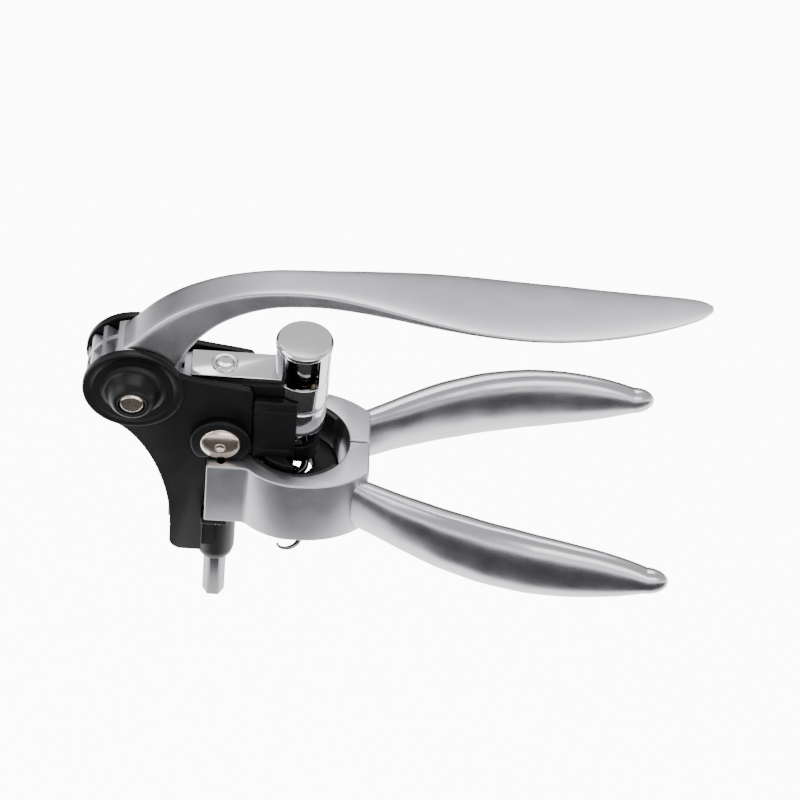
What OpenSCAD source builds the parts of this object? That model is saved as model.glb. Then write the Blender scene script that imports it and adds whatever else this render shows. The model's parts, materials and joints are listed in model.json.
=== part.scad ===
// Lever corkscrew with geared frame, sliding rack, worm carriage and two clamp jaws.
// Millimetres. Origin on the worm axis, a quarter up the clamp ring, X to the grips, Z up.

/* [View] */
// Sub-part drawn, or all
// Facets of round shapes
$fn = 64; // [32:8:96]

/* [Frame] */
// Hub centre behind the worm axis
hub_x = -50.5; // [-56:0.5:-46]
// Hub centre height
hub_z = 43.5; // [38:0.5:50]
// Radius of the round hub discs
hub_r = 15.3; // [14.9:0.1:17]
// Inner face of each side plate from the middle
plate_in = 7.1; // [7:0.1:8]
// Side plate thickness
plate_t = 2; // [1.6:0.1:3]
// Radius of the main boss on each plate
boss_r = 9.2; // [8:0.1:10]
// Height of the main screws
screw_z = 25; // [22:0.5:28]
// Lowest point of the plate foot
foot_z = -26.3; // [-30:0.5:-22]

/* [Guide] */
// Guide tube and rod axis behind the worm axis
rod_x = -23.5; // [-25:0.5:-22]
// Outer radius of the guide tube
tube_r = 6; // [5.4:0.1:6.2]
// Lower end of the guide tube
tube_z = -35; // [-38:0.5:-30]
// Across flats of the hexagonal rod
rod_af = 6.4; // [5:0.1:6.6]
// Lower end of the rod
rod_z = -54.5; // [-60:0.5:-48]

/* [Gear] */
// Pitch radius of the drive gear
pitch_r = 13; // [13:1:13]
// Tip radius of the drive gear
tip_r = 14.5; // [14.2:0.1:14.6]
// Root radius of the drive gear
root_r = 11.4; // [11:0.1:11.5]
// Half width of the gear
gear_w = 6.5; // [5:0.1:6.6]
// Lower end of the rack
rack_z = -14; // [-16:0.5:-12]

/* [Worm] */
// Radius of the worm can
can_r = 8.3; // [7.6:0.1:8.4]
// Top of the can cap
can_top = 60.7; // [58:0.1:63]
// Worm wire radius
wire_r = 1.3; // [1:0.05:1.5]
// Worm centreline radius
helix_r = 3; // [2.6:0.1:3.2]
// Worm lead
lead = 8.5; // [8:0.5:10]
// Worm tip height
worm_z = -31; // [-34:0.5:-24]

/* [Jaws] */
// Lower rim of the clamp ring
ring_lo = -6.2; // [-8:0.1:-4]
// Upper rim of the clamp ring
ring_hi = 18.2; // [17:0.1:18.3]
// Ring outer radius
ring_r = 21; // [20:0.1:21.5]
// Inner radius of the metal ring
bore_r = 16.3; // [16:0.1:17]
// Inner radius of the liner
liner_r = 14.8; // [14.4:0.1:15]
// Jaw hinge pin behind the worm axis
pin_x = -23; // [-24:0.1:-22]
// Jaw hinge pin from the middle
pin_y = 12; // [11.8:0.1:12.3]

/* [Hidden] */
plate_out = plate_in + plate_t;
tooth_p = 2 * PI * pitch_r / 16;
rack_x = hub_x + pitch_r;
black = [0.08, 0.08, 0.09];
cast = [0.74, 0.74, 0.76];
chrome = [0.85, 0.85, 0.88];
nickel = [0.80, 0.74, 0.68];

// upright outline pulled out along Y from y0 to y1
module side(pts, y0, y1) {
  translate([0, y1, 0]) rotate([90, 0, 0]) linear_extrude(y1 - y0) polygon(pts);
}

// round bar along Y
module ybar(x, z, r, y0, y1, r2 = -1) {
  translate([x, y0, z]) rotate([-90, 0, 0]) cylinder(h = y1 - y0, r1 = r, r2 = r2 < 0 ? r : r2);
}

// round bar along Z
module zbar(x, y, r, z0, z1) {
  translate([x, y, z0]) cylinder(h = z1 - z0, r = r);
}

function bez(a, b, c, d, n) = [for (i = [0 : n]) let (t = i / n, s = 1 - t)
  s * s * s * a + 3 * s * s * t * b + 3 * s * t * t * c + t * t * t * d];

plate_outline = concat(
  [[hub_x - 10.8, hub_z - 10.8]],
  [for (a = [0 : 6]) [hub_x - 4 + a * 1.75 + 0.06 * a * a, hub_z - 15.1 - a * 2.15 - 0.06 * a * a]],
  [[-40, 4], [-38.6, -5], [-38.1, -12]],
  [for (a = [0 : 15 : 90]) [-33.9 - 4.2 * cos(a), foot_z + 4.2 - 4.2 * sin(a)]],
  [[-27.8, foot_z], [-27.8, 18.6], [-14.4, 18.6], [-14.4, 44]],
  [for (a = [0 : 30 : 90]) [-16.9 + 2.5 * cos(a), 44 + 2.5 * sin(a)]],
  [[-31, 49], [-38, 50.8]]
);

module plate_half() {
  difference() {
    union() {
      ybar(hub_x, hub_z, hub_r, plate_in, plate_out);
      side(plate_outline, plate_in, plate_out);
      // raised rim of the hub disc
      difference() {
        ybar(hub_x, hub_z, hub_r, plate_out - 0.1, plate_out + 0.5);
        ybar(hub_x, hub_z, hub_r - 1.4, plate_out, plate_out + 1);
      }
      ybar(hub_x, hub_z, 7.8, plate_out - 0.1, plate_out + 6.4, 5.2);
      difference() {
        ybar(rod_x, screw_z, boss_r, plate_out - 0.1, plate_out + 2.4);
        translate([-40, plate_out - 1, 8]) cube([40, 9, 10.55]);
      }
      // lug carrying the jaw pin
      translate([-28.4, plate_in, ring_lo - 3.4]) cube([8.4, 6.3, 3]);
    }
    ybar(hub_x, hub_z, 3, plate_in - 1, plate_out + 9);
    ybar(hub_x, hub_z, 4, plate_out + 4.6, plate_out + 9);
    ybar(rod_x, screw_z, 2.5, plate_in - 1, plate_out + 9);
    ybar(rod_x, screw_z, 6.6, plate_out + 1.4, plate_out + 9);
    zbar(pin_x, pin_y, 1.3, -20, 5);
  }
}

module left_side_plate() {
  color(black) plate_half();
}

module right_side_plate() {
  color(black) mirror([0, 1, 0]) plate_half();
}

module guide_tube() {
  color(black) difference() {
    union() {
      zbar(rod_x, 0, tube_r, tube_z + 2, 38);
      translate([rod_x, 0, tube_z]) cylinder(h = 2, r1 = tube_r - 2, r2 = tube_r);
    }
    translate([rod_x, 0, tube_z - 1]) cylinder(h = 80, r = 4);
    for (s = [-1, 1]) ybar(rod_x, screw_z, 2.5, s * 6 - 2, s * 6 + 2);
  }
}

module frame_spacer() {
  // low web between the plates, in front of the rack
  color(black) difference() {
    translate([-29.6, -plate_in, -25.6]) cube([6.1, 2 * plate_in, 12]);
    zbar(rod_x, 0, tube_r, -40, 40);
    translate([-24, -9, -26]) cube([2, 18, 14]);
  }
}

module hub_axle() {
  color(nickel) ybar(hub_x, hub_z, 3, -plate_in - 6.6, plate_in + 6.6);
}

module hub_washers() {
  color(chrome) for (s = [-1, 1]) difference() {
    ybar(hub_x, hub_z, 6, s * (gear_w + 0.35) - 0.25, s * (gear_w + 0.35) + 0.25);
    ybar(hub_x, hub_z, 3, -9, 9);
  }
}

module hub_screws() {
  color(nickel) for (s = [0, 1]) mirror([0, s, 0]) difference() {
    ybar(hub_x, hub_z, 3.9, plate_in + 6.6, plate_in + 8.2);
    translate([hub_x - 3, plate_in + 7.6, hub_z - 0.45]) cube([6, 2, 0.9]);
  }
}

module side_screws() {
  color(nickel) for (s = [0, 1]) mirror([0, s, 0]) difference() {
    union() {
      ybar(rod_x, screw_z, 6.2, plate_out + 1.4, plate_out + 2.4);
      ybar(rod_x, screw_z, 6.2, plate_out + 2.4, plate_out + 4, 3.6);
      ybar(rod_x, screw_z, 1.9, 4.2, plate_out + 1.5);
    }
    ybar(rod_x, screw_z, 1.5, plate_out + 2.2, plate_out + 9);
  }
}

module screw_sleeves() {
  color(nickel) for (s = [0, 1]) mirror([0, s, 0]) difference() {
    ybar(rod_x, screw_z, 2.5, 4.6, plate_out + 1.4);
    ybar(rod_x, screw_z, 1.9, 0, plate_out + 9);
  }
}

module rod_bush() {
  color(chrome) difference() {
    zbar(rod_x, 0, 4, tube_z + 0.5, 20);
    translate([rod_x, 0, tube_z - 1]) cylinder(h = 80, r = (rod_af / 2 + 0.05) / cos(30), $fn = 6);
  }
}

module nut_block() {
  color(black) difference() {
    union() {
      translate([-14.1, -9.6, 18.6]) cube([13.3, 19.2, 23.4]);
      intersection() {
        translate([-14.1, -9.6, 8]) cube([13.3, 19.2, 10.6]);
        zbar(0, 0, liner_r - 1.2, 7, 20);
      }
      translate([-17.4, -7, 22]) cube([3.4, 14, 14]);
    }
    zbar(0, 0, can_r + 0.4, 22, 50);
    zbar(0, 0, 7, 7, 30);
    for (s = [-1, 1]) zbar(-9.6, s * 5, 1, 7, 13);
  }
}

module worm_nut() {
  color(nickel) difference() {
    zbar(0, 0, 7, 14.6, 21);
    zbar(0, 0, helix_r + wire_r + 0.4, 10, 30);
  }
}

module bottle_rest() {
  color(black) difference() {
    zbar(0, 0, liner_r - 1.2, 4, 8);
    zbar(0, 0, helix_r + wire_r + 1, 0, 20);
    for (s = [-1, 1]) zbar(-9.6, s * 5, 1, 2, 10);
  }
}

module rest_screws() {
  color(nickel) for (s = [-1, 1]) zbar(-9.6, s * 5, 1, 4, 13);
}

module jaw_pins() {
  color(chrome) for (s = [-1, 1]) zbar(pin_x, s * pin_y, 1.3, ring_lo - 3.4, ring_hi);
}

arm_top = concat(
  bez([-50.5, 60.6], [-44, 70], [-32, 81], [-9, 83.6], 14),
  bez([0, 84], [22, 84], [40, 79.4], [64, 78.8], 14),
  bez([72, 78.8], [92, 79], [106, 81.6], [119.6, 84.2], 10)
);
arm_low = concat(
  bez([119, 82.6], [106, 80.2], [92, 77.8], [72, 77], 10),
  bez([64, 76.9], [44, 77.4], [22, 80.6], [2, 78.6], 14),
  bez([-9, 77.2], [-26, 72.6], [-33, 63], [-38.4, 49.5], 12)
);

module lever_arm() {
  color(cast) difference() {
    intersection() {
      union() {
        side(concat([[hub_x, hub_z]], [[-52, 59.4]], arm_top, arm_low), -16, 16);
        difference() {
          ybar(hub_x, hub_z, tip_r, -6.6, 6.6);
          side([[hub_x, hub_z], [hub_x + 30 * cos(12.3), hub_z + 30 * sin(12.3)], [hub_x + 30, hub_z - 40],
            [hub_x - 40, hub_z - 40], [hub_x - 40, hub_z + 60],
            [hub_x + 60 * cos(111), hub_z + 60 * sin(111)]], -8, 8);
        }
      }
      linear_extrude(200) polygon(concat(
        [for (p = plan_side) [p[0], p[1] / 2]],
        [for (i = [len(plan_side) - 1 : -1 : 0]) [plan_side[i][0], -plan_side[i][1] / 2]]));
    }
    ybar(hub_x, hub_z, root_r + 0.05, -9, 9);
    side([[hub_x, hub_z], [hub_x + 30 * cos(12.3), hub_z + 30 * sin(12.3)], [hub_x + 30, hub_z - 40],
      [hub_x - 40, hub_z - 40], [hub_x - 40, hub_z + 60],
      [hub_x + 60 * cos(111), hub_z + 60 * sin(111)]], -8, 8);
  }
}

plan_side = [
  [-70, 13.1], [-36, 13.1], [-30, 11.4], [-16, 10.9], [-2, 11.2], [6, 12], [12, 13.8], [20, 16.2],
  [26, 18.3], [33, 20.7], [40, 22.6], [48, 24.1], [56, 24.9], [66, 25], [76, 24], [84, 22.2],
  [92, 19.9], [99, 17.4], [105, 14.9], [110, 12.5], [114, 10.3], [117, 8], [119, 5.6], [119.7, 3]
];

tooth = [[root_r - 0.4, -1.75], [pitch_r - 0.2, -1.2], [tip_r, -0.72],
  [tip_r, 0.72], [pitch_r - 0.2, 1.2], [root_r - 0.4, 1.75]];

module drive_gear() {
  color(cast) difference() {
    union() {
      ybar(hub_x, hub_z, root_r, -gear_w, gear_w);
      // thin centre rib as tall as the teeth
      difference() {
        ybar(hub_x, hub_z, tip_r, -0.8, 0.8);
        side([[hub_x, hub_z], [hub_x + 60 * cos(111), hub_z + 60 * sin(111)],
          [hub_x + 60, hub_z + 60], [hub_x + 60 * cos(12.2), hub_z + 60 * sin(12.2)]], -2, 2);
      }
      for (k = [0 : 10]) translate([hub_x, gear_w, hub_z]) rotate([90, 0, 0])
        rotate([0, 0, 130 + k * 22.5]) linear_extrude(2 * gear_w) polygon(tooth);
    }
    ybar(hub_x, hub_z, 3.05, -9, 9);
  }
}

module rack() {
  color(cast) difference() {
    union() {
      translate([rack_x + 1.9, -6.2, rack_z]) cube([4, 12.4, 46.3 - rack_z]);
      translate([rack_x - 1.3, -6.2, rack_z]) cube([4, 12.4, 5.2]);
      for (k = [0 : 10]) side([for (p = [[1.95, -1.75], [0.2, -1.15], [-1.3, -0.7], [-1.3, 0.7], [0.2, 1.15],
        [1.95, 1.75]]) [rack_x + p[0], hub_z + 1.42 - k * tooth_p + p[1]]], -6.2, 6.2);
    }
    translate([rack_x - 4, -1.2, rack_z + 5.2]) cube([5.9, 2.4, 62]);
    for (s = [-1, 1]) translate([rack_x + 2.9, s * 4, 44.2]) rotate([0, 90, 0]) cylinder(h = 12, r = 1);
  }
}

module rack_dowels() {
  color(nickel) for (s = [-1, 1]) translate([rack_x + 2.9, s * 4, 44.2]) rotate([0, 90, 0])
    cylinder(h = 6, r = 1);
}

module carriage_bridge() {
  color(black) difference() {
    translate([rack_x + 5.9, -6.8, 42.2]) cube([26.7, 13.6, 4.1]);
    zbar(0, 0, can_r, 40, 50);
    zbar(rod_x, 0, 3, 40, 50);
    for (s = [-1, 1]) translate([rack_x + 2.9, s * 4, 44.2]) rotate([0, 90, 0]) cylinder(h = 6, r = 1);
  }
}

module top_plate() {
  color(chrome) difference() {
    translate([-33.6, -5.5, 46.3]) cube([28.6, 11, 2]);
    zbar(0, 0, can_r, 40, 50);
    zbar(rod_x, 0, 3, 40, 50);
  }
}

module rod_rivet() {
  color(chrome) difference() {
    union() {
      zbar(rod_x, 0, 3, 42.2, 48.3);
      zbar(rod_x, 0, 4.1, 48.3, 48.9);
      translate([rod_x, 0, 48.9]) cylinder(h = 0.5, r1 = 3.4, r2 = 2.6);
    }
  }
}

module guide_rod() {
  color(chrome) difference() {
    translate([rod_x, 0, rod_z]) cylinder(h = 42.2 - rod_z, r = rod_af / 2 / cos(30), $fn = 6);
    difference() {
      translate([rod_x, 0, rod_z - 1]) cylinder(h = 2, r = 9);
      translate([rod_x, 0, rod_z - 1]) cylinder(h = 2, r1 = 2.4, r2 = 4.4);
    }
  }
}

module worm_can() {
  color(chrome) difference() {
    zbar(0, 0, can_r, 36.8, 58.4);
    zbar(0, 0, can_r - 1, 38, 60);
    zbar(0, 0, 3.4, 30, 60);
    // window in the near face
    translate([-6.4, -12, 48.3]) cube([11.6, 9, 10]);
  }
}

module can_cap() {
  color(chrome) union() {
    zbar(0, 0, 8.75, 58.4, can_top - 0.9);
    translate([0, 0, can_top - 0.9]) cylinder(h = 0.9, r1 = 8.75, r2 = 7.9);
    zbar(0, 0, can_r - 1, 57, 58.4);
  }
}

module can_core() {
  color(chrome) difference() {
    zbar(0, 0, 4.2, 45, 57);
    zbar(0, 0, 3.1, 40, 50);
  }
}

module thrust_washer() {
  color(nickel) difference() {
    zbar(0, 0, 6.6, 38, 39);
    zbar(0, 0, 3.4, 30, 60);
  }
}

module spindle_clip() {
  color(nickel) difference() {
    zbar(0, 0, 5.6, 39.1, 40.3);
    zbar(0, 0, 3, 30, 60);
    translate([0, -1.5, 39]) cube([9, 3, 2]);
  }
}

module worm() {
  color(chrome) worm_wire();
}

module worm_shank() {
  color(chrome) union() {
    zbar(0, 0, 3, 28, 41);
    zbar(0, 0, helix_r + 0.9, 25.5, 28.2);
  }
}

module worm_wire() {
  n = 16;
  steps = ceil((24.1 - worm_z) / lead * n);
  m = 7;
  ring = [for (i = [0 : steps], j = [0 : m - 1])
    let (z = 24.1 - i * lead / n, a = -360 * i / n, left = (z - worm_z) / 7,
      w = wire_r * min(1, max(0.3, left)), q = 360 * j / m,
      rr = helix_r + w * cos(q))
    [rr * cos(a), rr * sin(a), z + w * sin(q) * 1.05]];
  faces = concat(
    [for (i = [0 : steps - 1], j = [0 : m - 1])
      [i * m + j, i * m + (j + 1) % m, (i + 1) * m + (j + 1) % m]],
    [for (i = [0 : steps - 1], j = [0 : m - 1])
      [i * m + j, (i + 1) * m + (j + 1) % m, (i + 1) * m + j]],
    [for (j = [1 : m - 2]) [0, j + 1, j]],
    [for (j = [1 : m - 2]) [steps * m, steps * m + j, steps * m + j + 1]]);
  polyhedron(ring, faces, convexity = 12);
}

module worm_chuck() {
  color(chrome) difference() {
    union() {
      zbar(0, 0, can_r - 0.2, 26.2, 36.1);
      zbar(0, 0, 4.4, 36.1, 36.7);
    }
    zbar(0, 0, 3, 20, 40);
    zbar(0, 0, helix_r + 1, 20, 28.4);
    rotate([0, 0, -112]) translate([0, 0, 31.2]) rotate([0, 90, 0]) cylinder(h = 12, r = 1.2);
  }
}

module chuck_screw() {
  color(nickel) rotate([0, 0, -112]) translate([3, 0, 31.2]) rotate([0, 90, 0])
    cylinder(h = can_r - 4.2, r = 1.2);
}

tail = concat([[0, 20.9], [7, 20.4], [13, 19.0], [18, 16.5]],
  [for (a = [0 : 15 : 90]) [20.6 + 2 * sin(a), 12.2 + 2 * cos(a)]], [[22.6, 0.15], [0, 0.15]]);

module jaw_solid() {
  zbar(0, 0, ring_r, ring_lo, ring_hi);
  translate([-27.4, 9.5, ring_lo]) cube([15.4, 5.2, ring_hi - ring_lo]);
  translate([0, 0, ring_lo]) linear_extrude(ring_hi - ring_lo) polygon(tail);
}

module jaw_half() {
  difference() {
    jaw_solid();
    zbar(0, 0, bore_r, -20, 30);
    translate([-40, -29.85, -20]) cube([80, 30, 50]);
    translate([-40, -10, -20]) cube([31, 16.9, 50]);
    zbar(pin_x, pin_y, 1.34, -20, 30);
  }
}

module left_jaw() {
  color(cast) jaw_half();
}

module right_jaw() {
  color(cast) mirror([0, 1, 0]) jaw_half();
}

module liner_half() {
  difference() {
    zbar(0, 0, bore_r, ring_lo + 0.6, ring_hi - 0.5);
    zbar(0, 0, liner_r, -20, 30);
    translate([-40, -29.85, -20]) cube([80, 30, 50]);
    translate([-40, -10, -20]) cube([31, 16.9, 50]);
    // the liner stops short of the front, where bare metal shows
    translate([0, 0, -20]) linear_extrude(50) polygon([[0, 0], [30, 0], [30, 23.5]]);
  }
}

module left_liner() {
  color(black) liner_half();
}

module right_liner() {
  color(black) mirror([0, 1, 0]) liner_half();
}

grip_side = concat(
  bez([15, 16], [26, 15], [36, 18.4], [59, 18.6], 14),
  bez([66, 18.6], [86, 18], [104, 14], [114.4, 6.5], 12),
  bez([114.6, 4.6], [113, 0], [92, -6], [68, -6.3], 12),
  bez([60, -6.3], [40, -6.2], [28, -3], [15, -4.2], 14)
);
grip_mid = [[14, 12.5], [19, 14.2], [25, 17.2], [33, 21.6], [45, 27.4], [59, 32.4], [73, 35.6],
  [85, 37.2], [99, 38.2], [109, 38.8], [115.4, 39.2]];
grip_wide = [5, 6.2, 7.6, 8.8, 9.8, 10, 9.6, 8.8, 7.6, 6.2, 4];

module grip_half() {
  difference() {
    intersection() {
      side(grip_side, 4, 60);
      translate([0, 0, -40]) linear_extrude(80) polygon(concat(
        [for (i = [0 : 10]) grip_mid[i] + [0, grip_wide[i] / 2]],
        [for (i = [10 : -1 : 0]) grip_mid[i] - [0, grip_wide[i] / 2]]));
    }
    zbar(0, 0, ring_r, -20, 30);
    translate([0, 0, -20]) linear_extrude(60) polygon(tail);
  }
}

module left_grip() {
  color(cast) grip_half();
}

module right_grip() {
  color(cast) mirror([0, 1, 0]) grip_half();
}

right_side_plate();
left_side_plate();
guide_tube();
frame_spacer();
hub_axle();
hub_washers();
hub_screws();
side_screws();
screw_sleeves();
rod_bush();
nut_block();
worm_nut();
bottle_rest();
rest_screws();
jaw_pins();
lever_arm();
drive_gear();
rack();
rack_dowels();
carriage_bridge();
top_plate();
rod_rivet();
guide_rod();
worm_can();
can_cap();
can_core();
thrust_washer();
spindle_clip();
worm();
worm_shank();
worm_chuck();
chuck_screw();
right_jaw();
right_grip();
right_liner();
left_jaw();
left_grip();
left_liner();
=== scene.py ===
import json
import math

import bmesh
import bpy
import numpy as np
from mathutils import Matrix


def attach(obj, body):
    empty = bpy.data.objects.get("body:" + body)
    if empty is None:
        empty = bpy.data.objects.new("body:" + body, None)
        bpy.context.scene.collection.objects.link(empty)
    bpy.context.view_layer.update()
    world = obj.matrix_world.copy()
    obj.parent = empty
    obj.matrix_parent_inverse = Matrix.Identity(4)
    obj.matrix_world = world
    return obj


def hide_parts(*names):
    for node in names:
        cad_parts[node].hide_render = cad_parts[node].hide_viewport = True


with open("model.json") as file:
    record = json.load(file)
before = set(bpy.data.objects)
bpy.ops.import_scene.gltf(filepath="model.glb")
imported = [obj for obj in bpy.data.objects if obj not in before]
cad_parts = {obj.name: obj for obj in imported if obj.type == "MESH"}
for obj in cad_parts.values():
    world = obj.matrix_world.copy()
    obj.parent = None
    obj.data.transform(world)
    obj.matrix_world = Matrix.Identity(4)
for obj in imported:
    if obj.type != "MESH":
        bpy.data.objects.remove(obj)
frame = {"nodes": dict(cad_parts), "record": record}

bl_info = {
    "name": "Lever corkscrew",
    "version": (1, 0, 0),
    "blender": (4, 5, 0),
    "location": "View3D > Sidebar > Corkscrew",
    "description": "Builds the shown surfaces of a lever corkscrew round its frame",
    "category": "Add Mesh",
}

MM = 0.001
FLAG_BLACK = (5 / 255, 5 / 255, 5 / 255)
LENS_GAIN = 6  # how much brighter the floor looks than it lights


# ---------------------------------------------------------------- properties


def size(name, default, description):
    """A length in millimetres."""
    told = description + ", in mm"
    return bpy.props.FloatProperty(name=name, description=told, default=default, precision=2)


def colour(name, code, description):
    """An sRGB colour from its hex code."""
    value = [int(code[i : i + 2], 16) / 255 for i in (1, 3, 5)]
    return bpy.props.FloatVectorProperty(
        name=name, description=description, subtype="COLOR_GAMMA", size=3, min=0, max=1, default=value
    )


class CorkscrewSizes(bpy.types.PropertyGroup):
    """Sizes in millimetres, from the axis of the worm"""

    hub_x: size("Hub centre X", -50.5, "Axle of the lever along the tool")
    hub_z: size("Hub centre Z", 43.5, "Height of the lever's axle")
    hub_r: size("Hub disc radius", 15.3, "Round head of the side plate")
    plate_in: size("Plate inner face", 7.1, "Middle plane to the near face of a side plate")
    plate_out: size("Plate outer face", 9.1, "Middle plane to the far face of a side plate")
    rod_x: size("Guide rod X", -23.5, "Axis of the guide rod and tube")
    screw_z: size("Main screw height", 25.0, "Height of the large side screws")
    boss_r: size("Main boss radius", 9.2, "Boss round a large side screw")
    foot_z: size("Foot height", -26.3, "Lower edge of the side plates")
    ring_lo: size("Ring lower rim", -6.2, "Lower rim of the clamp ring")
    ring_hi: size("Ring upper rim", 18.2, "Upper rim of the clamp ring")
    ring_r: size("Ring radius", 21.0, "Outside of the clamp ring")
    bore_r: size("Ring bore radius", 16.3, "Bare bore of the clamp ring")
    liner_r: size("Liner radius", 14.8, "Bore inside the liners, which grips the bottle")
    can_r: size("Worm can radius", 8.3, "Outside of the can that carries the worm")
    wire_r: size("Worm wire radius", 1.3, "Half the thickness of the worm's wire")
    helix_r: size("Worm centreline radius", 3.0, "Worm axis to the middle of the wire")
    lead: size("Worm lead", 8.5, "Rise of the worm in one turn")


class CorkscrewColours(bpy.types.PropertyGroup):
    """Base colours of the finishes"""

    cast: colour("Satin cast alloy", "#B4B4B9", "Lever and jaws")
    grip: colour("Polished cast alloy", "#BABABF", "Horn grips")
    enamel: colour("Black enamel", "#050506", "Side plates and guide tube")
    moulded: colour("Black moulding", "#060607", "Nut block, bridge and bottle rest")
    chrome: colour("Chrome", "#D9D9DD", "Can, cap and top plate")
    # dark grey base: painted shade and painted dark reflection on the worm and guide rod
    shaded_steel: colour("Drawn steel", "#77777B", "Worm and guide rod")
    nickel: colour("Warm nickel", "#D2C3B6", "Screws")
    rubber: colour("Liner rubber", "#0C0C0D", "Liners of the clamp ring")
    floor: colour("Floor", "#F4F4F4", "Ground under the tool")


# ------------------------------------------------------------------- helpers


def linear(rgb):
    """sRGB to linear RGBA."""
    c = np.array(rgb[:], float)
    lin = np.where(c <= 0.04045, c / 12.92, ((c + 0.055) / 1.055) ** 2.4)
    return (*[float(v) for v in lin], 1.0)


def bezier(a, b, c, d, n):
    """B(t) = (1-t)^3 a + 3 (1-t)^2 t b + 3 (1-t) t^2 c + t^3 d."""
    t = np.linspace(0, 1, n)[:, None]
    a, b, c, d = (np.array(p, float) for p in (a, b, c, d))
    return (1 - t) ** 3 * a + 3 * (1 - t) ** 2 * t * b + 3 * (1 - t) * t**2 * c + t**3 * d


def arc(cx, cy, r, a0, a1, n):
    """Points c + r (cos a, sin a), a from a0 to a1 in degrees."""
    a = np.radians(np.linspace(a0, a1, n))
    return np.stack([cx + r * np.cos(a), cy + r * np.sin(a)], 1)


def box(u0, u1, v0, v1):
    """Corners of a rectangle, anticlockwise."""
    return np.array([(u0, v0), (u1, v0), (u1, v1), (u0, v1)], float)


def smooth(x, xs, ys, k=9):
    """Piecewise-linear table through a k-wide running mean, ends held."""
    y = np.interp(x, xs, ys)
    p = np.concatenate([2 * y[0] - y[k:0:-1], y, 2 * y[-1] - y[-2 : -k - 2 : -1]])
    w = np.hanning(2 * k + 1)
    return np.convolve(p, w / w.sum(), "valid")


def put(name, verts, faces, sharp=34.0):
    """Mesh object from millimetre points, faces turned outwards, smooth below the sharp angle."""
    me = bpy.data.meshes.new(name)
    me.from_pydata((np.asarray(verts) * MM).tolist(), [], faces)
    bm = bmesh.new()
    bm.from_mesh(me)
    bmesh.ops.remove_doubles(bm, verts=bm.verts, dist=1e-7)
    bmesh.ops.recalc_face_normals(bm, faces=bm.faces)
    bm.to_mesh(me)
    bm.free()
    me.shade_smooth()
    me.set_sharp_from_angle(angle=math.radians(sharp))
    ob = bpy.data.objects.new(name, me)
    bpy.context.scene.collection.objects.link(ob)
    return ob


def tube_faces(n, m, caps=True):
    """Quads of an n x m grid closed round m: (i,j),(i,j+1),(i+1,j+1),(i+1,j)."""
    i, j = np.meshgrid(np.arange(n - 1), np.arange(m), indexing="ij")
    q = np.stack([i * m + j, i * m + (j + 1) % m, (i + 1) * m + (j + 1) % m, (i + 1) * m + j], -1)
    faces = q.reshape(-1, 4).tolist()
    if caps:
        faces += [list(range(m)), list(range((n - 1) * m, n * m))]
    return faces


def swept(name, rings, sharp=34.0):
    """Closed skin through rings, an (n, m, 3) array."""
    n, m, _ = rings.shape
    return put(name, rings.reshape(-1, 3), tube_faces(n, m), sharp)


def place(p, along, at):
    """Profile frame (u, v, h) to the row frame: along Z keeps it, along Y maps h to Y."""
    u, v, h = p[..., 0], p[..., 1], p[..., 2]
    q = np.stack([u, v, h], -1) if along == "z" else np.stack([u, h, v], -1)
    return q + np.array(at, float)


def slab(name, outline, lo, hi, edge=0.4, along="z", at=(0, 0, 0), steps=4):
    """Plate with rounded rims. Each rim ring is the outline moved inwards by e (1 - sin q)
    along its normal while it climbs by e (1 - cos q), q from 0 to 90 degrees."""
    o = np.asarray(outline, float)
    keep = np.hypot(*(o - np.roll(o, 1, 0)).T) > 1e-4
    o = o[keep]
    a = 0.5 * np.sum(o[:, 0] * np.roll(o[:, 1], -1) - np.roll(o[:, 0], -1) * o[:, 1])
    o = o if a > 0 else o[::-1]
    e0 = o - np.roll(o, 1, 0)
    e1 = np.roll(o, -1, 0) - o
    e0 /= np.hypot(*e0.T)[:, None]
    e1 /= np.hypot(*e1.T)[:, None]
    nrm = np.stack([-(e0 + e1)[:, 1], (e0 + e1)[:, 0]], 1)
    ln = np.hypot(*nrm.T)
    nrm = nrm / np.maximum(ln, 0.5)[:, None] * (2 / np.maximum(ln, 1.0))[:, None]
    q = np.linspace(0, np.pi / 2, steps + 1)
    inn = np.concatenate([1 - np.sin(q), (1 - np.sin(q))[::-1]])
    hts = np.concatenate([lo + edge * (1 - np.cos(q)), (hi - edge * (1 - np.cos(q)))[::-1]])
    rings = np.stack([np.column_stack([o + nrm * edge * k, np.full(len(o), h)]) for k, h in zip(inn, hts)])
    return swept(name, place(rings, along, at))


def lathe(name, profile, along="z", at=(0, 0, 0), n=96, a0=0.0, a1=360.0):
    """Profile (r, h) turned about its axis: (r cos a, r sin a, h). A part turn is closed flat."""
    p = np.asarray(profile, float)
    full = a1 - a0 >= 360
    a = np.radians(np.linspace(a0, a1, n, endpoint=not full))
    r = np.stack([p[:, 0][None] * np.cos(a)[:, None], p[:, 0][None] * np.sin(a)[:, None],
                  np.broadcast_to(p[:, 1][None], (len(a), len(p)))], -1)
    v = place(r, along, at).reshape(-1, 3)
    m = len(p)
    f = tube_faces(len(a), m, caps=not full)
    if full:
        j = np.arange(m)
        b = (len(a) - 1) * m
        f += np.stack([b + j, b + (j + 1) % m, (j + 1) % m, j], -1).tolist()
    return put(name, v, f)


def rounded(pts, e=0.3, k=4):
    """Closed profile with each corner replaced by a short curve of size e. Points on the axis stay."""
    p = np.asarray(pts, float)
    out = []
    for i, c in enumerate(p):
        a, b = p[i - 1], p[(i + 1) % len(p)]
        la, lb = np.hypot(*(a - c)), np.hypot(*(b - c))
        if c[0] < 1e-6 or la < 1e-6 or lb < 1e-6:
            out.append(c)
            continue
        s = min(e, 0.45 * la, 0.45 * lb)
        p0, p1 = c + (a - c) / la * s, c + (b - c) / lb * s
        t = np.linspace(0, 1, k)[:, None]
        out += list((1 - t) ** 2 * p0 + 2 * (1 - t) * t * c + t**2 * p1)
    return np.array(out)


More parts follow.
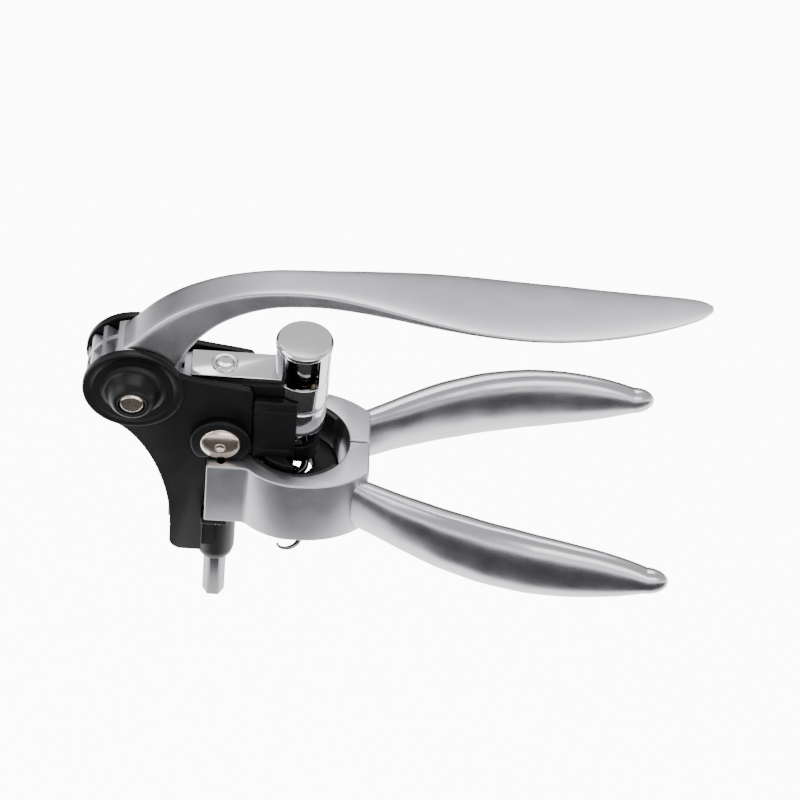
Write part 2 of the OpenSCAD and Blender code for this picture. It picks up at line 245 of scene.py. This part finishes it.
def turned(name, corners, edge, **how):
    """Lathe work from a profile (r, h) whose corners are eased by edge."""
    return lathe(name, rounded(corners, edge), **how)


def super_ellipse(m, power):
    """u = sgn(cos q) |cos q|^(2/p), v = sgn(sin q) |sin q|^(2/p)."""
    q = np.linspace(0, 2 * np.pi, m, endpoint=False) + np.pi / m
    c, s = np.cos(q), np.sin(q)
    power = np.asarray(power, float)[..., None]
    return np.sign(c) * np.abs(c) ** (2 / power), np.sign(s) * np.abs(s) ** (2 / power)


def dress(ob, body, material, slot, *nodes):
    """Rides on the body, stands for the nodes, wears the material."""
    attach(ob, body)
    if nodes:
        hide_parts(*nodes)
    ob.data.materials.clear()
    ob.data.materials.append(material)
    return ob


# ----------------------------------------------------------------- materials


def add(nt, kind, links=(), **values):
    """Adds a node, sets sockets by name (underscores for spaces) and links (socket, output)."""
    node = nt.nodes.new(kind)
    for key, v in values.items():
        node.inputs[key.replace("_", " ")].default_value = v
    for key, out in links:
        nt.links.new(out, node.inputs[key])
    return node


def surface(name, base, metallic, rough, grain_mm, spread, bump, ior=1.5, glow=0.0, shine=0.5):
    """Principled surface whose roughness wanders by spread over a grain in millimetres."""
    old = bpy.data.materials.get(name)
    if old:
        return old
    mat = bpy.data.materials.new(name)
    mat.use_nodes = True
    nt = mat.node_tree
    nt.nodes.clear()
    tc = add(nt, "ShaderNodeTexCoord")
    here = [("Vector", tc.outputs["Object"])]
    patch_mm = grain_mm * 30
    big = add(nt, "ShaderNodeTexNoise", here, Scale=1 / (patch_mm * MM), Detail=3.0)
    fine = add(nt, "ShaderNodeTexNoise", here, Scale=1 / (grain_mm * MM), Detail=4.0)
    rr = add(nt, "ShaderNodeMapRange", [("Value", big.outputs["Fac"])], From_Min=0.3, From_Max=0.7,
             To_Min=max(0.02, rough - spread), To_Max=rough + spread)
    bp = add(nt, "ShaderNodeBump", [("Height", fine.outputs["Fac"])], Strength=bump, Distance=0.03 * MM)
    pb = add(nt, "ShaderNodeBsdfPrincipled",
             [("Roughness", rr.outputs["Result"]), ("Normal", bp.outputs["Normal"])],
             Base_Color=linear(base), Metallic=metallic, IOR=ior, Specular_IOR_Level=shine,
             Emission_Color=(1, 1, 1, 1), Emission_Strength=glow)
    if glow:
        # an overexposed sweep: the floor is white to the lens, and lights the tool gently
        lens = add(nt, "ShaderNodeLightPath")
        lift = add(nt, "ShaderNodeMapRange", [("Value", lens.outputs["Is Camera Ray"])],
                   To_Min=glow, To_Max=glow * LENS_GAIN)
        nt.links.new(lift.outputs["Result"], pb.inputs["Emission Strength"])
    out = add(nt, "ShaderNodeOutputMaterial")
    nt.links.new(pb.outputs["BSDF"], out.inputs["Surface"])
    return mat


def palette():
    """Materials by short name."""
    c = bpy.context.scene.corkscrew_colours
    enamel, nylon = {"ior": 1.45, "shine": 0.25}, {"ior": 1.45, "shine": 0.22}
    return {
        # bead-blasted and lacquered zinc casting: soft, even grey with a slight sparkle
        "cast": surface("satin_zinc_casting", c.cast, 1.0, 0.36, 0.25, 0.03, 0.25),
        # the same casting tumbled and buffed: long clean highlights along the horns
        "grip": surface("buffed_zinc_casting", c.grip, 1.0, 0.24, 0.4, 0.03, 0.12),
        # stoved black enamel on die casting: deep black with a soft sheen
        "enamel": surface("stoved_black_enamel", c.enamel, 0.0, 0.38, 0.5, 0.05, 0.2, **enamel),
        # spark-eroded glass-filled nylon: black with a broad dull sheen
        "moulded": surface("black_glass_filled_nylon", c.moulded, 0.0, 0.48, 0.3, 0.05, 0.4, **nylon),
        # bright chrome plate over polish: near mirror
        "chrome": surface("bright_chrome_plate", c.chrome, 1.0, 0.12, 0.8, 0.02, 0.05),
        # cold-drawn steel, ground, with a tight highlight; its base colour is darkened far below real steel
        # and chrome as painted shade and painted dark reflection on the worm and guide rod
        "shaded_steel": surface("cold_drawn_steel", c.shaded_steel, 1.0, 0.16, 0.6, 0.03, 0.08),
        # barrel-plated nickel screws: warm, slightly hazy
        "nickel": surface("barrel_plated_nickel", c.nickel, 1.0, 0.22, 0.5, 0.04, 0.1),
        # moulded nitrile liner: matt black
        "rubber": surface("moulded_nitrile_rubber", c.rubber, 0.0, 0.6, 0.4, 0.05, 0.4, ior=1.52),
    }


SLOTS = {"cast": "cast_alloy", "grip": "cast_alloy", "enamel": "black_enamel", "moulded": "black_plastic",
         "chrome": "chrome", "shaded_steel": "chrome", "nickel": "nickel", "rubber": "liner_rubber"}


def finish(ob, body, key, *nodes):
    """Dress with a palette entry."""
    return dress(ob, body, palette()[key], SLOTS[key], *nodes)


def mirrored(ob, name):
    """A copy of ob mirrored across the middle plane, faces kept outwards."""
    me = ob.data.copy()
    me.transform(Matrix.Diagonal((1, -1, 1, 1)))
    me.flip_normals()
    new = bpy.data.objects.new(name, me)
    bpy.context.scene.collection.objects.link(new)
    return new


def pair(ob, left, right, key, *node_ends):
    """The left piece and its mirror image on the right, on their bodies, for nodes by ending."""
    other = mirrored(ob, ob.name.replace("left_", "right_"))
    finish(ob, left, key, *["left_" + e for e in node_ends])
    finish(other, right, key, *["right_" + e for e in node_ends])


# ----------------------------------------------------------------- operators


class CORKSCREW_OT_frame(bpy.types.Operator):
    """Side plates, bosses, screws, tube, nut block and bottle rest"""

    bl_idname = "corkscrew.frame"
    bl_label = "Frame"

    def execute(self, context):
        s = context.scene.corkscrew_sizes
        hx, hz, r, face = s.hub_x, s.hub_z, s.hub_r, s.plate_out
        at_hub = {"along": "y", "at": (hx, 0, hz)}
        at_screw = {"along": "y", "at": (s.rod_x, 0, s.screw_z)}

        # one outline from the hub round the waist, the foot and the shoulder
        outline = np.concatenate([
            arc(hx, hz, r, 27, 243, 72),
            bezier((-56.6, 29.6), (-47.5, 25.0), (-39.6, 8.0), (-38.3, -10.0), 28)[1:],
            [(-38.1, -16)],
            arc(-33.9, s.foot_z + 4.2, 4.2, 180, 270, 12),
            [(-27.85, s.foot_z), (-27.85, 18.6), (-14.4, 18.6), (-14.4, 43)],
            arc(-16.9, 44, 2.5, 0, 80, 8),
            bezier((-17.5, 46.6), (-23, 47.8), (-31, 48.2), (-37.0, 50.6), 18),
        ])
        plate = slab("left_plate_web", outline, s.plate_in, s.plate_out, 0.35, "y")
        pair(plate, "frame", "frame", "enamel", "side_plate")
        rim = [(r, face - 0.9), (r - 0.1, face + 0.45), (r - 1.8, face + 0.5), (r - 3.6, face - 0.2)]
        pair(lathe("left_hub_rim", rounded(rim, 0.9, 6), **at_hub), "frame", "frame", "enamel")
        cone = [(10.6, face - 0.2), (8.4, face + 0.5), (6.9, face + 4.6), (5.4, face + 6.4),
                (4.05, face + 6.4), (4.05, face - 0.2)]
        pair(turned("left_hub_boss", cone, 0.9, **at_hub), "frame", "frame", "enamel")
        # the main boss is cut flat below, above the jaw
        flat = arc(s.rod_x, s.screw_z, s.boss_r, -44.3, 224.3, 72)
        boss = slab("left_main_boss", flat, face - 0.3, face + 2.4, 0.7, "y")
        pair(boss, "frame", "frame", "enamel")
        lug = slab("left_pin_lug", box(-28.4, -20.0, -9.55, -6.65), s.plate_in, s.plate_in + 6.3, 0.5, "y")
        pair(lug, "frame", "frame", "enamel")

        def screw_pair(head, node):
            other = mirrored(head, head.name.replace("left_", "right_"))
            finish(head, "frame", "nickel", node)
            finish(other, "frame", "nickel")

        head = [(0, face + 4.7), (3.9, face + 4.7), (3.8, face + 5.7), (3.0, face + 6.2), (0, face + 6.2)]
        screw_pair(turned("left_hub_screw", head, 0.35, **at_hub), "hub_screws")
        head_r, head_rise, rim_h = 6.2, 1.8, face + 2.2
        crown = [(head_r * math.cos(math.radians(q)), rim_h + head_rise * math.sin(math.radians(q)))
                 for q in range(12, 73, 6)]
        dimple = [(1.6, face + 3.95), (1.35, face + 3.4), (0, face + 2.9)]
        dome = [(0, face + 1.45), (head_r, face + 1.45), (head_r, rim_h), *crown, *dimple]
        screw_pair(turned("left_side_screw", dome, 0.12, **at_screw), "side_screws")

        bore, end = 4.05, -35
        wall = [(bore, end + 0.1), (4.6, end), (5.5, end + 0.8), (6, end + 3), (6, 38), (bore, 38)]
        tube = turned("guide_tube_skin", wall, 0.6, at=(s.rod_x, 0, 0))
        finish(tube, "frame", "enamel", "guide_tube")

        # nut block: half width w, from x0 back to x1, corners c
        w, c, x0, x1 = 9.6, 1.2, -14.1, -0.8
        can_gap, nut_r, rest_r = s.can_r + 0.42, 7.05, s.liner_r - 1.2

        def hollowed(front, n, hollow):
            """Block in plan: corners c at the back, corners front in n points, and a hollow arc."""
            return np.concatenate([
                arc(x0 + c, w - c, c, 180, 90, 6), arc(x1 - front, w - front, front, 90, 0, n), hollow,
                arc(x1 - front, front - w, front, 0, -90, n), arc(x0 + c, c - w, c, 270, 180, 6),
            ])

        walls = hollowed(0.4, 4, arc(0, 0, can_gap, 95.3, 264.7, 48))
        finish(slab("nut_block_walls", walls, 22, 38.4, 0.3), "frame", "moulded", "nut_block")
        crown = walls * np.array([1, 0.985])
        finish(slab("nut_block_crown", crown, 38.2, 42, 0.3), "frame", "moulded")
        nut_arc = arc(0, 0, nut_r, 96.6, 263.4, 40)
        finish(slab("nut_block_foot", hollowed(2, 8, nut_arc), 18.6, 22.3, 0.4), "frame", "moulded")
        left_edge, right_edge = arc(0, 0, rest_r, 135.2, 93.4, 16), arc(0, 0, rest_r, 266.6, 224.8, 16)
        skirt = np.concatenate([left_edge, nut_arc, right_edge])
        finish(slab("nut_block_skirt", skirt, 8.0, 19.0, 0.6), "frame", "moulded")
        tongue = slab("nut_block_tongue", box(-17.3, -14, -7, 7), 22, 36, 0.3)
        finish(tongue, "frame", "moulded")
        disc = [(5.3, 4.0), (rest_r, 4.0), (rest_r, 7.2), (rest_r - 1.2, 7.95), (6, 7.95), (5.3, 7.4)]
        finish(turned("bottle_rest_disc", disc, 0.4), "frame", "moulded", "bottle_rest")
        ring = [(4.7, 14.65), (7, 14.65), (7, 21), (5.4, 21), (4.7, 20.3)]
        finish(turned("worm_nut_ring", ring, 0.3), "frame", "moulded", "worm_nut")
        return {"FINISHED"}


class CORKSCREW_OT_lever(bpy.types.Operator):
    """Cast lever arm with its toothless hub land"""

    bl_idname = "corkscrew.lever"
    bl_label = "Lever"

    def execute(self, context):
        s = context.scene.corkscrew_sizes
        hx, hz = s.hub_x, s.hub_z
        top = np.concatenate([
            bezier((-55.0, 56.6), (-53.6, 58.0), (-52.2, 59.2), (-50.5, 61.0), 6)[:-1],
            bezier((-50.5, 61.0), (-44, 70), (-32, 81), (-9, 83.6), 60)[:-1],
            bezier((-9, 83.6), (18, 86.0), (40, 79.4), (68, 78.8), 60)[:-1],
            bezier((68, 78.8), (92, 78.6), (106, 81.6), (119.6, 84.1), 60),
        ])
        low = np.concatenate([
            bezier((-37.4, 46.9), (-37.6, 48.0), (-38.0, 49.0), (-38.4, 49.6), 6)[:-1],
            bezier((-38.4, 49.6), (-33, 63), (-26, 72.6), (-9, 77.2), 60)[:-1],
            bezier((-9, 77.2), (16, 81.6), (44, 77.2), (68, 76.9), 60)[:-1],
            bezier((68, 76.9), (92, 77.0), (106, 80.2), (119.4, 83.2), 60),
        ])
        mid, half = (top + low) / 2, (top - low) / 2
        x = mid[:, 0]
        # width in plan: a narrow root, broadest at two thirds, then a round tip
        plan = np.array([
            (-70, 13.0), (-40, 12.9), (-30, 11.5), (-16, 10.8), (-2, 11.2), (6, 12), (12, 13.8), (20, 16.2),
            (26, 18.3), (33, 20.7), (40, 22.6), (48, 24.1), (56, 24.8), (66, 24.9), (76, 24), (84, 22.2),
            (92, 19.9), (99, 17.4), (105, 14.9), (110, 12.3), (114, 9.8), (117, 7.2), (119, 4.2),
            (119.7, 1.6),
        ])
        w = smooth(x, plan[:, 0], plan[:, 1], 5) / 2
        power = np.interp(x, [-40, 0, 30, 60, 119], [9, 8, 6, 5, 3.2])
        u, v = super_ellipse(72, power)
        thick = np.interp(x, [-60, 100, 116, 119.6], [1, 1, 0.9, 0.45])
        # shallow crown across the broad part
        crown = np.interp(x, [-10, 30, 100, 119], [0, 0.35, 0.35, 0])
        pos = mid[:, None, :] + half[:, None, :] * (v * thick[:, None])[..., None]
        zc = pos[..., 1] - crown[:, None] * u**2
        rings = np.stack([pos[..., 0], w[:, None] * u, zc], -1)
        finish(swept("lever_arm_skin", rings, 40), "lever", "cast", "lever_arm")
        land = np.concatenate([arc(hx, hz, 14.5, 12.6, 111, 40), arc(hx, hz, 11.5, 111, 12.6, 30)])
        finish(slab("lever_hub_land", land, -6.55, 6.55, 0.3, "y"), "lever", "cast")
        return {"FINISHED"}


class CORKSCREW_OT_clamp(bpy.types.Operator):
    """Half rings, blocks, liners and horn grips of both jaws"""

    bl_idname = "corkscrew.clamp"
    bl_label = "Clamp jaws"

    def execute(self, context):
        s = context.scene.corkscrew_sizes
        lo, hi, ro, rb = s.ring_lo, s.ring_hi, s.ring_r, s.bore_r
        # y: half the gap where the jaws meet; back: half the gap that takes the guide tube
        y, back = 0.16, 6.95
        b_out, b_in = (180 - math.degrees(math.asin(back / r)) for r in (ro, rb))
        jaw = np.concatenate([
            [(21.9, y)], arc(21.9, 1.0, 0.7, -60, 0, 4),
            arc(20.6, 12.2, 2.0, 0, 62, 10),
            bezier((21.5, 14.0), (17.6, 17.6), (11.0, 21.0), (2.0, 20.9), 30),
            arc(0, 0, ro, 86, 133.6, 28), [(-16.0, 14.7)],
            arc(-26.8, 14.1, 0.6, 90, 180, 5), arc(-26.8, 10.1, 0.6, 180, 270, 5),
            [(-20.0, 9.5)], arc(0, 0, ro, 154.5, b_out, 8),
            arc(0, 0, rb, b_in, 0.6, 80),
        ])
        pair(slab("left_jaw_ring", jaw, lo, hi, 0.5), "left_clamp", "right_clamp", "cast", "jaw")
        lr, front = s.liner_r, 38.3
        lin = np.concatenate([arc(0, 0, rb - 0.01, front, b_in, 60),
                              arc(0, 0, lr, 180 - math.degrees(math.asin(back / lr)), front, 60)])
        liner = slab("left_liner_half", lin, lo + 0.6, hi - 0.5, 0.4)
        pair(liner, "left_clamp", "right_clamp", "rubber", "liner")

        root, tip = 17.0, 115.3
        t = np.linspace(0, 1, 170)
        x = root + (tip - root) * (1 - (1 - t) ** 1.7)
        mid = np.array([(14, 12.0), (19, 14.0), (25, 17.0), (33, 21.4), (45, 27.2), (59, 32.3), (73, 35.6),
                        (85, 37.2), (99, 38.2), (109, 38.8), (116, 39.2)])
        yy = smooth(x, mid[:, 0], mid[:, 1], 7)
        tops = np.concatenate([bezier((15, 15.6), (26, 14.6), (36, 18.2), (59, 18.6), 30),
                               bezier((66, 18.6), (86, 18), (104, 14), (114.6, 6.5), 30), [(tip, 5.2)]])
        lows = np.concatenate([bezier((15, -3.8), (28, -2.8), (40, -6), (60, -6.3), 30),
                               bezier((68, -6.3), (92, -6), (113, 0), (114.7, 4.6), 30), [(tip, 5.1)]])
        zt, zb = smooth(x, tops[:, 0], tops[:, 1], 3), smooth(x, lows[:, 0], lows[:, 1], 3)
        breadth = np.array([(15, 5), (19, 6.0), (25, 7.4), (33, 8.7), (45, 9.7), (59, 9.9), (73, 9.6),
                            (85, 8.8), (99, 7.6), (109, 6.2), (115.4, 4.0)])
        wide = smooth(x, breadth[:, 0], breadth[:, 1], 5) / 2
        path = np.stack([x, yy], 1)
        tan = np.gradient(path, axis=0)
        tan /= np.hypot(*tan.T)[:, None]
        nor = np.stack([-tan[:, 1], tan[:, 0]], 1)
        power = np.interp(x, [16, 30, 70, 115], [3.2, 2.4, 2.2, 2.1])
        u, v = super_ellipse(64, power)
        zc, hz = (zt + zb) / 2, np.maximum((zt - zb) / 2, 0.15)
        # blunt tip: the last 7 mm close as a quarter ellipse, towards the height of the tip
        blunt, length, tip_z = 108.3, 7.0, 5.2
        e = np.sqrt(np.clip(1 - np.clip((x - blunt) / length, 0, 1) ** 2, 0.0004, 1))
        past = x > blunt
        hz = np.where(past, np.interp(blunt, x, hz) * e, hz)
        wide = np.where(past, np.interp(blunt, x, wide) * e, wide)
        z_blunt = np.interp(blunt, x, zc)
        zc = np.where(past, z_blunt + (tip_z - z_blunt) * (1 - e), zc)
        rings = np.stack([x[:, None] + nor[:, :1] * wide[:, None] * u,
                          yy[:, None] + nor[:, 1:] * wide[:, None] * u,
                          zc[:, None] + hz[:, None] * v], -1)
        pair(swept("left_horn_grip", rings, 50), "left_clamp", "right_clamp", "grip", "grip")
        return {"FINISHED"}


class CORKSCREW_OT_carriage(bpy.types.Operator):
    """Top plate, bridge, can, cap, rivet and guide rod"""

    bl_idname = "corkscrew.carriage"
    bl_label = "Carriage"

    def execute(self, context):
        s = context.scene.corkscrew_sizes
        cr, rx = s.can_r, s.rod_x

        def butted(x0, half, c):
            """Plan of a bar whose right end is cut to the round of the can"""
            a = math.degrees(math.asin(half / cr))
            return np.concatenate([
                arc(0, 0, cr - 0.1, 180 - a, 180 + a, 24),
                arc(x0 + c, -half + c, c, 270, 180, 5), arc(x0 + c, half - c, c, 180, 90, 5),
            ])

        deck, under = 46.3, 42.25
        plate = slab("top_plate_skin", butted(-33.6, 5.45, 0.8), deck, deck + 2, 0.25)
        finish(plate, "carriage", "chrome", "top_plate")
        bridge = slab("bridge_skin", butted(-31.5, 6.75, 0.6), under, deck, 0.25)
        finish(bridge, "carriage", "moulded", "carriage_bridge")
        ringed = [(0, 48.2), (4.1, 48.2), (4.1, 48.65), (3.7, 48.9), (3.25, 48.8), (3.0, 48.6),
                  (2.75, 48.85), (2.3, 49.2), (1.2, 49.38), (0, 49.4)]
        finish(turned("rivet_head", ringed, 0.12, at=(rx, 0, 0)), "carriage", "chrome", "rod_rivet")
        body = [(7.4, 36.9), (cr - 0.25, 36.85), (cr, 37.3), (cr, 46.5), (7.4, 46.5)]
        finish(turned("can_body", body, 0.2), "carriage", "chrome", "worm_can")
        # the window is the part of the turn that is left open
        wall = [(7.35, 46.4), (cr, 46.4), (cr, 58.45), (7.35, 58.45)]
        finish(turned("can_window_wall", wall, 0.1, n=80, a0=-52, a1=231), "carriage", "chrome")
        oval = np.concatenate([arc(0.6, -0.8, 4.0, 200, 340, 24), arc(0, 0, 4.1, 20, 160, 20)])
        finish(slab("can_core_block", oval, 45.2, 57.2, 0.3), "carriage", "chrome", "can_core")
        lid = [(0, 57.1), (7.2, 57.1), (7.25, 58.4), (8.72, 58.45), (8.72, 59.9), (7.95, 60.65), (0, 60.68)]
        finish(turned("cap_skin", lid, 0.25), "carriage", "chrome", "can_cap")
        # hexagon 6.4 mm across its flats, with six points along each flat
        hexagon = arc(0, 0, 3.2 / math.cos(math.radians(30)), 0, 300, 6)
        along_flat = np.linspace(0.06, 0.94, 6)[:, None]
        fine = np.concatenate([a + (b - a) * along_flat for a, b in zip(hexagon, np.roll(hexagon, -1, 0))])
        rod = slab("guide_rod_skin", fine, -54.5, 42.2, 0.5, at=(rx, 0, 0))
        # the rod's dark grey base colour is painted shade and painted dark reflection
        finish(rod, "carriage", "shaded_steel", "guide_rod")
        return {"FINISHED"}


class CORKSCREW_OT_worm(bpy.types.Operator):
    """Open helix with its ground point, and the chuck that drives it"""

    bl_idname = "corkscrew.worm"
    bl_label = "Worm"

    def execute(self, context):
        s = context.scene.corkscrew_sizes
        # wire from z0 down to the tip at z1, drawn out to a point over the last stretch
        z0, z1, point, n, m = 24.1, -31.2, 9.0, 560, 18
        t = np.linspace(0, 1, n)
        z = z0 + (z1 - z0) * t
        a = (z - z0) * 2 * np.pi / s.lead
        left = (z - z1) / point
        w = s.wire_r * np.clip(left, 0.08, 1.0) ** 0.5
        r = s.helix_r + (s.wire_r - w) * 0.7
        path = np.stack([r * np.cos(a), r * np.sin(a), z], 1)
        tan = np.gradient(path, axis=0)
        tan /= np.linalg.norm(tan, axis=1)[:, None]
        n1 = np.stack([np.cos(a), np.sin(a), np.zeros(n)], 1)
        n1 -= (n1 * tan).sum(1)[:, None] * tan
        n1 /= np.linalg.norm(n1, axis=1)[:, None]
        n2 = np.cross(tan, n1)
        q = np.linspace(0, 2 * np.pi, m, endpoint=False)
        spoke = np.cos(q)[None, :, None] * n1[:, None] + np.sin(q)[None, :, None] * n2[:, None]
        rings = path[:, None] + w[:, None, None] * spoke
        # the worm's dark grey base colour is painted shade and painted dark reflection
        finish(swept("worm_helix", rings, 60), "worm_unit", "shaded_steel", "worm")
        sleeve = [(4.2, 26.3), (7.4, 26.25), (8.1, 27.0), (8.1, 35.6), (7.7, 36.1), (4.2, 36.1)]
        finish(turned("chuck_skin", sleeve, 0.3), "worm_unit", "chrome", "worm_chuck")
        # a flat black disc set in the chuck's side paints the shade inside a cross hole; it wears the liner
        # rubber only for its black
        hole = turned("chuck_hole", [(0, 7.9), (1.25, 7.9), (1.25, 8.14), (0, 8.14)], 0.05, n=32)
        # laid on its side, raised, and turned to the near side of the chuck
        lay = Matrix.Rotation(math.radians(90), 4, "Y")
        lift = Matrix.Translation((0, 0, 31.2 * MM))
        hole.data.transform(Matrix.Rotation(math.radians(-112), 4, "Z") @ lift @ lay)
        finish(hole, "worm_unit", "rubber")
        return {"FINISHED"}


class CORKSCREW_OT_finish(bpy.types.Operator):
    """Materials and fine edges for the frame nodes that show as they are"""

    bl_idname = "corkscrew.finish"
    bl_label = "Remaining parts"

    def execute(self, context):
        slots = {v: k for k, v in SLOTS.items() if k not in ("grip", "shaded_steel")}
        pal = palette()
        for row in frame["record"]["subparts"]:
            ob = frame["nodes"][row["node"]]
            ob.data.materials.clear()
            ob.data.materials.append(pal[slots[row["material_slot"]]])
        for name, width in (("drive_gear", 0.12), ("rack", 0.2), ("frame_spacer", 0.3)):
            mod = frame["nodes"][name].modifiers.new("edge", "BEVEL")
            mod.width = width * MM
            mod.segments = 2
            mod.limit_method = "ANGLE"
            mod.angle_limit = math.radians(35)
        return {"FINISHED"}


class CORKSCREW_OT_stage(bpy.types.Operator):
    """Camera, soft studio light and a plain pale floor"""

    bl_idname = "corkscrew.stage"
    bl_label = "Stage"

    def execute(self, context):
        sc = context.scene
        c = sc.corkscrew_colours
        az, el, roll = (math.radians(v) for v in (-4.25, 44.98, 6.62))
        target = np.array([30.33, 0, 37.45]) * MM
        out = np.array([math.sin(az) * math.cos(el), -math.cos(az) * math.cos(el), math.sin(el)])
        level = np.array([math.cos(az), math.sin(az), 0])
        upright = np.cross(level, -out)
        right = math.cos(roll) * level + math.sin(roll) * upright
        up = math.cos(roll) * upright - math.sin(roll) * level
        data = bpy.data.cameras.new("studio_camera")
        data.sensor_width = 36
        data.lens = 129.35
        data.clip_start = 0.01
        data.clip_end = 10
        cam = bpy.data.objects.new("studio_camera", data)
        sc.collection.objects.link(cam)
        pos = target + 0.87741 * out
        cam.matrix_world = Matrix([(right[i], up[i], out[i], pos[i]) for i in range(3)] + [(0, 0, 0, 1)])
        sc.camera = cam

        reach, low = 6000.0, -450.0
        corners = np.column_stack([box(-reach, reach, -reach, reach), np.full(4, low)])
        floor = put("floor", corners, [[0, 1, 2, 3]])
        floor.data.materials.append(surface("plain_floor", c.floor, 0.0, 0.9, 5.0, 0.02, 0.0, glow=1.7))

        def card(name, corners):
            """Dark reflector flag that only reflections see."""
            ob = put(name, np.array(corners, float), [[0, 1, 2, 3]])
            ob.data.materials.append(surface("black_flag", FLAG_BLACK, 0.0, 1.0, 5.0, 0.0, 0.0))
            ob.visible_camera = False
            ob.visible_shadow = False
            ob.visible_diffuse = False

        lying = [(u, v, -300) for u, v in box(-900, 1000, -1100, -165)]
        standing = [(u, 500, v) for u, v in box(-600, 800, -60, 260)]
        card("front_flag", lying)
        card("back_flag", standing)

        def lamp(name, place, aim, size, power):
            d = bpy.data.lights.new(name, "AREA")
            d.shape = "RECTANGLE"
            d.size, d.size_y = size
            d.energy = power
            o = bpy.data.objects.new(name, d)
            sc.collection.objects.link(o)
            z = np.array(place, float) - np.array(aim, float)
            z /= np.linalg.norm(z)
            x = np.cross([0.0, 0.0, 1.0], z)
            x = x / np.linalg.norm(x) if np.linalg.norm(x) > 1e-6 else np.array([1.0, 0, 0])
            y = np.cross(z, x)
            o.matrix_world = Matrix([(x[i], y[i], z[i], place[i]) for i in range(3)] + [(0, 0, 0, 1)])

        lamp("overhead_softbox", (0.1, 0.25, 1.1), (0.03, 0, 0), (1.2, 0.9), 14)
        lamp("left_softbox", (-0.9, -0.3, 0.5), (0, 0, 0.03), (0.7, 0.7), 5)
        lamp("front_softbox", (0.3, -1.0, 0.25), (0.03, 0, 0.03), (0.9, 0.35), 4)
        world = sc.world or bpy.data.worlds.new("studio")
        sc.world = world
        world.use_nodes = True
        bg = world.node_tree.nodes.get("Background") or world.node_tree.nodes.new("ShaderNodeBackground")
        bg.inputs["Color"].default_value = (1, 1, 1, 1)
        bg.inputs["Strength"].default_value = 0.9
        return {"FINISHED"}


class CORKSCREW_PT_panel(bpy.types.Panel):
    """Sizes and colours, and a button for each group"""

    bl_idname = "CORKSCREW_PT_panel"
    bl_label = "Lever corkscrew"
    bl_space_type = "VIEW_3D"
    bl_region_type = "UI"
    bl_category = "Corkscrew"

    def draw(self, context):
        for owner in (context.scene.corkscrew_sizes, context.scene.corkscrew_colours):
            for name in owner.__annotations__:
                self.layout.prop(owner, name)
        for op in STEPS:
            self.layout.operator(op.bl_idname)


STEPS = (
    CORKSCREW_OT_frame,
    CORKSCREW_OT_lever,
    CORKSCREW_OT_clamp,
    CORKSCREW_OT_carriage,
    CORKSCREW_OT_worm,
    CORKSCREW_OT_finish,
    CORKSCREW_OT_stage,
)
CLASSES = (CorkscrewSizes, CorkscrewColours, *STEPS, CORKSCREW_PT_panel)


def register():
    for cls in CLASSES:
        bpy.utils.register_class(cls)
    bpy.types.Scene.corkscrew_sizes = bpy.props.PointerProperty(type=CorkscrewSizes)
    bpy.types.Scene.corkscrew_colours = bpy.props.PointerProperty(type=CorkscrewColours)


def unregister():
    del bpy.types.Scene.corkscrew_colours
    del bpy.types.Scene.corkscrew_sizes
    for cls in reversed(CLASSES):
        bpy.utils.unregister_class(cls)


def main():
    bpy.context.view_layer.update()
    register()
    for cls in STEPS:
        group, name = cls.bl_idname.split(".")
        getattr(getattr(bpy.ops, group), name)()


if __name__ == "__main__":
    main()
